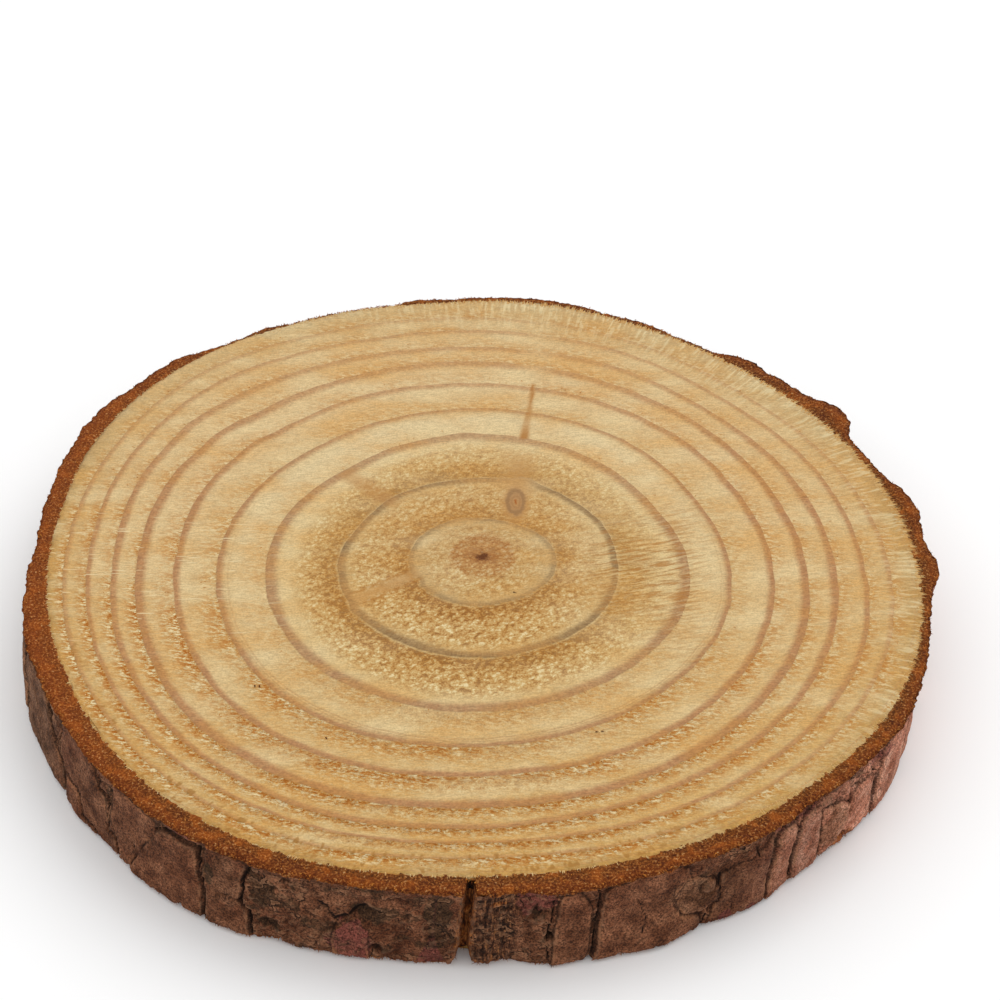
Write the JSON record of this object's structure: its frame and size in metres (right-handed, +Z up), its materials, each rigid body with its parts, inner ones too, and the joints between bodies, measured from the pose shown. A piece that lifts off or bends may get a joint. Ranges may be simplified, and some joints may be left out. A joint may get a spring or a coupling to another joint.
{
  "type": "wood slice",
  "caption": "Flat round slice sawn across a small conifer trunk, with growth rings on the cut face and rough plated bark all round its edge.",
  "frame": {"origin": "middle of the slice's outline, on the flat lower face that it rests on", "axes": "+Z up through the slice along the trunk's grain, -Y to the side with the crack in the bark, +X to its right"},
  "size_m": [0.1218, 0.1206, 0.0134],
  "materials": {
    "wood": "raw sawn softwood with its bark on, matt"
  },
  "bodies": {
    "root": {"wood_slice": "wood"}
  },
  "joints": []
}
